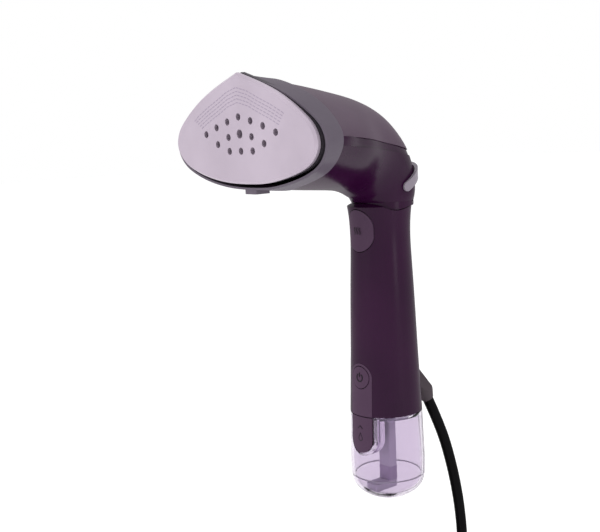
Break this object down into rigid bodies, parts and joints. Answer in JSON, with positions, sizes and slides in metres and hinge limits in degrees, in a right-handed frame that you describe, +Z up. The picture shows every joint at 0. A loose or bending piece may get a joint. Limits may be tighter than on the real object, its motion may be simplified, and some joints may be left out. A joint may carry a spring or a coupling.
{
  "type": "garment steamer",
  "caption": "Handheld garment steamer with a tilting triangular steam head, round grip, clear clip-on water tank and a mains lead wound into a tied coil.",
  "frame": {"origin": "middle of the hand grip, on the handle's axis", "axes": "+Z up along the handle towards the head, -Y the way the steam plate faces, +X across the head"},
  "size_m": [0.2261, 0.1695, 0.3446],
  "materials": {
    "aubergine_gloss": "glossy dark aubergine plastic",
    "mauve_gloss": "glossy grey mauve plastic",
    "bezel_plastic": "satin grey lilac plastic",
    "plate_metal": "coated metal, lilac silver",
    "control_plastic": "satin plum plastic",
    "slider_plastic": "satin light lilac plastic",
    "tank_clear": "clear lilac plastic",
    "column_plastic": "smoky lilac plastic",
    "dark_plastic": "black engineering plastic",
    "guard_rubber": "dark grey soft plastic",
    "cord_black": "black cord sheath",
    "seal_rubber": "black silicone",
    "tube_silicone": "milky silicone",
    "cast_aluminium": "cast aluminium",
    "steel": "plain steel",
    "board_green": "printed board",
    "pump_body": "coated metal",
    "pin_nickel": "nickel plated brass"
  },
  "bodies": {
    "handle": {"handle_housing": "aubergine_gloss", "handle_rear_cover": "aubergine_gloss", "front_strip": "control_plastic", "cord_guard": "guard_rubber", "hinge_yoke": "dark_plastic", "hinge_pin": "steel", "hinge_cradle": "dark_plastic", "neck_shield": "dark_plastic", "chassis_rail": "dark_plastic", "water_pump": "pump_body", "pump_inlet_tube": "tube_silicone", "pump_outlet_tube": "tube_silicone", "control_board": "board_green", "button_switch": "dark_plastic", "trigger_switch": "dark_plastic", "trigger_spring": "steel", "tank_dock": "dark_plastic", "dock_seal": "seal_rubber", "cord_clamp": "dark_plastic", "cord_coil": "cord_black", "cord_drop": "cord_black", "cord_tail": "cord_black", "cord_tie": "dark_plastic", "power_plug": "cord_black", "plug_pins": "pin_nickel"},
    "head": {"steam_plate": "plate_metal", "plate_seal": "seal_rubber", "bezel": "bezel_plastic", "steam_chamber": "cast_aluminium", "chamber_cover": "cast_aluminium", "heating_element": "steel", "chamber_screws": "steel", "thermostat": "steel", "thermal_fuse": "dark_plastic", "heat_shield": "dark_plastic", "head_upper_cover": "mauve_gloss", "head_lower_shell": "aubergine_gloss", "head_seam_band": "aubergine_gloss", "head_steam_tube": "tube_silicone"},
    "slider": {"release_slider": "slider_plastic"},
    "trigger": {"steam_trigger": "control_plastic"},
    "button": {"power_button": "control_plastic"},
    "latch": {"tank_latch": "control_plastic"},
    "tank": {"water_tank": "tank_clear", "tank_cap": "column_plastic", "filler_stopper": "seal_rubber", "tank_seal": "seal_rubber", "suction_column": "column_plastic", "suction_foot": "column_plastic"}
  },
  "joints": [
    {"name": "head_tilt", "type": "hinge", "parent": "handle", "child": "head", "pos_m": [0, 0.011, 0.07], "axis": [-1, 0, 0], "range_deg": [0, 20]},
    {"name": "slider_pull", "type": "slide", "parent": "head", "child": "slider", "axis": [0, 0.8982, 0.4395], "range_m": [0, 0.0025], "stiffness_N_per_m": 400},
    {"name": "trigger_press", "type": "slide", "parent": "handle", "child": "trigger", "axis": [0, 1, 0], "range_m": [0, 0.0025], "stiffness_N_per_m": 600},
    {"name": "button_press", "type": "slide", "parent": "handle", "child": "button", "axis": [0, 1, 0], "range_m": [0, 0.001], "stiffness_N_per_m": 800},
    {"name": "latch_press", "type": "slide", "parent": "handle", "child": "latch", "axis": [0, 1, 0], "range_m": [0, 0.002], "stiffness_N_per_m": 800},
    {"name": "tank_pull", "type": "slide", "parent": "handle", "child": "tank", "axis": [0, 0, -1], "range_m": [0, 0.03]}
  ]
}
